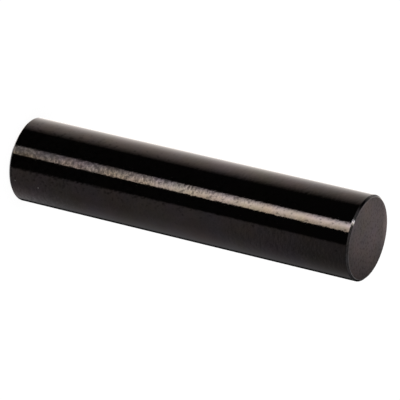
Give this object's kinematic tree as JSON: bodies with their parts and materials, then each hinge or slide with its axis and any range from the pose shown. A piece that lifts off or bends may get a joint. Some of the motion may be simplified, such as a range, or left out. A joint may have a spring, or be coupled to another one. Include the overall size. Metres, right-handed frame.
{
  "type": "pin gauge",
  "caption": "Plain cylindrical pin gauge: a blacked, lapped steel pin with flat square ends and a fine edge break, for checking hole diameters.",
  "frame": {"origin": "centre of the lower flat end, which the pin stands on", "axes": "+Z along the pin's axis, up from the lower end to the upper end; X and Y are any two directions square to it, because the pin is round"},
  "size_m": [0.0114, 0.0114, 0.0508],
  "materials": {
    "blacked_steel": "hardened steel, black oxide over a lapped cylinder, so the side is a dark mirror; the sawn and ground ends are a dull grey-brown black"
  },
  "bodies": {
    "root": {"gauge_pin": "blacked_steel"}
  },
  "joints": []
}
